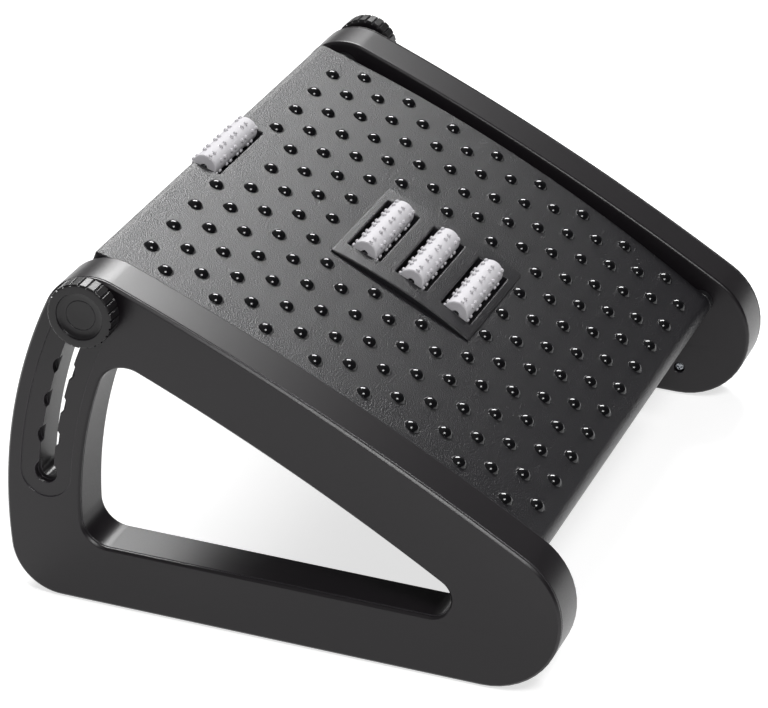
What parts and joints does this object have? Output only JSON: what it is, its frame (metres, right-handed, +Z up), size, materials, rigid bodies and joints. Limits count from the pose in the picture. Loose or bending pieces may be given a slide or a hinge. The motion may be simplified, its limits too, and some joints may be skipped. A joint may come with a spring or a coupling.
{
  "type": "tilting footrest",
  "caption": "Under-desk footrest: an arched plate with raised bumps and massage rollers tilts between two open side frames and is held by a clamp knob at each side.",
  "frame": {"origin": "on the floor, under the middle of the footrest", "axes": "+X to the right of the person who uses it, +Y from heel to toe, +Z up"},
  "size_m": [0.4874, 0.3423, 0.2138],
  "materials": {
    "frame_plastic": "dark charcoal, satin moulded",
    "plate_plastic": "dark charcoal, fine matt grain",
    "knob_plastic": "dark charcoal, satin moulded",
    "roller_plastic": "off-white, smooth",
    "nylon": "dark grey, smooth",
    "rod_steel": "drawn bar",
    "zinc_screw": "zinc plated",
    "foot_rubber": "soft black"
  },
  "bodies": {
    "stand": {"left_frame_body": "frame_plastic", "left_frame_cover": "frame_plastic", "left_frame_screw_1": "zinc_screw", "left_frame_screw_2": "zinc_screw", "left_frame_screw_3": "zinc_screw", "left_frame_screw_4": "zinc_screw", "left_heel_foot": "foot_rubber", "left_toe_foot": "foot_rubber", "left_rod_screw": "zinc_screw", "right_frame_body": "frame_plastic", "right_frame_cover": "frame_plastic", "right_frame_screw_1": "zinc_screw", "right_frame_screw_2": "zinc_screw", "right_frame_screw_3": "zinc_screw", "right_frame_screw_4": "zinc_screw", "right_heel_foot": "foot_rubber", "right_toe_foot": "foot_rubber", "right_rod_screw": "zinc_screw", "heel_rod": "rod_steel"},
    "plate": {"foot_plate": "plate_plastic", "roller_cover": "plate_plastic", "roller_tray": "plate_plastic", "toe_roller_cradle": "plate_plastic", "tray_screw_1": "zinc_screw", "tray_screw_2": "zinc_screw", "tray_screw_3": "zinc_screw", "tray_screw_4": "zinc_screw", "cradle_screw_1": "zinc_screw", "cradle_screw_2": "zinc_screw", "roller_axle_1": "rod_steel", "roller_axle_2": "rod_steel", "roller_axle_3": "rod_steel", "toe_roller_axle": "rod_steel", "left_heel_bush": "nylon", "left_clamp_nut": "zinc_screw", "left_friction_pad": "nylon", "right_heel_bush": "nylon", "right_clamp_nut": "zinc_screw", "right_friction_pad": "nylon"},
    "console_roller_1": {"massage_roller_1": "roller_plastic"},
    "console_roller_2": {"massage_roller_2": "roller_plastic"},
    "console_roller_3": {"massage_roller_3": "roller_plastic"},
    "front_roller": {"toe_roller": "roller_plastic"},
    "left_collar": {"left_notch_collar": "nylon"},
    "left_knob_set": {"left_knob": "knob_plastic", "left_knob_cap": "knob_plastic", "left_clamp_bolt": "zinc_screw"},
    "right_collar": {"right_notch_collar": "nylon"},
    "right_knob_set": {"right_knob": "knob_plastic", "right_knob_cap": "knob_plastic", "right_clamp_bolt": "zinc_screw"}
  },
  "joints": [
    {"name": "plate_tilt", "type": "hinge", "parent": "stand", "child": "plate", "pos_m": [0, -0.13675, 0.0709], "axis": [1, 0, 0], "range_deg": [-23.5, 0]},
    {"name": "console_roller_1_spin", "type": "hinge", "parent": "plate", "child": "console_roller_1", "pos_m": [0, 0.02151, 0.16671], "axis": [1, 0, 0], "continuous": true},
    {"name": "console_roller_2_spin", "type": "hinge", "parent": "plate", "child": "console_roller_2", "pos_m": [0, -0.0092, 0.15375], "axis": [1, 0, 0], "continuous": true},
    {"name": "console_roller_3_spin", "type": "hinge", "parent": "plate", "child": "console_roller_3", "pos_m": [0, -0.03862, 0.13804], "axis": [1, 0, 0], "continuous": true},
    {"name": "front_roller_spin", "type": "hinge", "parent": "plate", "child": "front_roller", "pos_m": [0, 0.1278, 0.20444], "axis": [1, 0, 0], "continuous": true},
    {"name": "left_clamp_slide", "type": "slide", "parent": "plate", "child": "left_collar", "axis": [-1, 0, 0], "range_m": [-0.0025, 0.00125]},
    {"name": "left_knob_turn", "type": "hinge", "parent": "left_collar", "child": "left_knob_set", "pos_m": [-0.236, 0.11913, 0.19295], "axis": [-1, 0, 0], "range_deg": [-720, 360]},
    {"name": "right_clamp_slide", "type": "slide", "parent": "plate", "child": "right_collar", "axis": [1, 0, 0], "range_m": [-0.0025, 0.00125]},
    {"name": "right_knob_turn", "type": "hinge", "parent": "right_collar", "child": "right_knob_set", "pos_m": [0.236, 0.11913, 0.19295], "axis": [1, 0, 0], "range_deg": [-720, 360]}
  ],
  "couplings": [
    {"joint": "left_knob_turn", "follows": "left_clamp_slide", "rad_per_m": 5026.5},
    {"joint": "right_knob_turn", "follows": "right_clamp_slide", "rad_per_m": 5026.5}
  ]
}
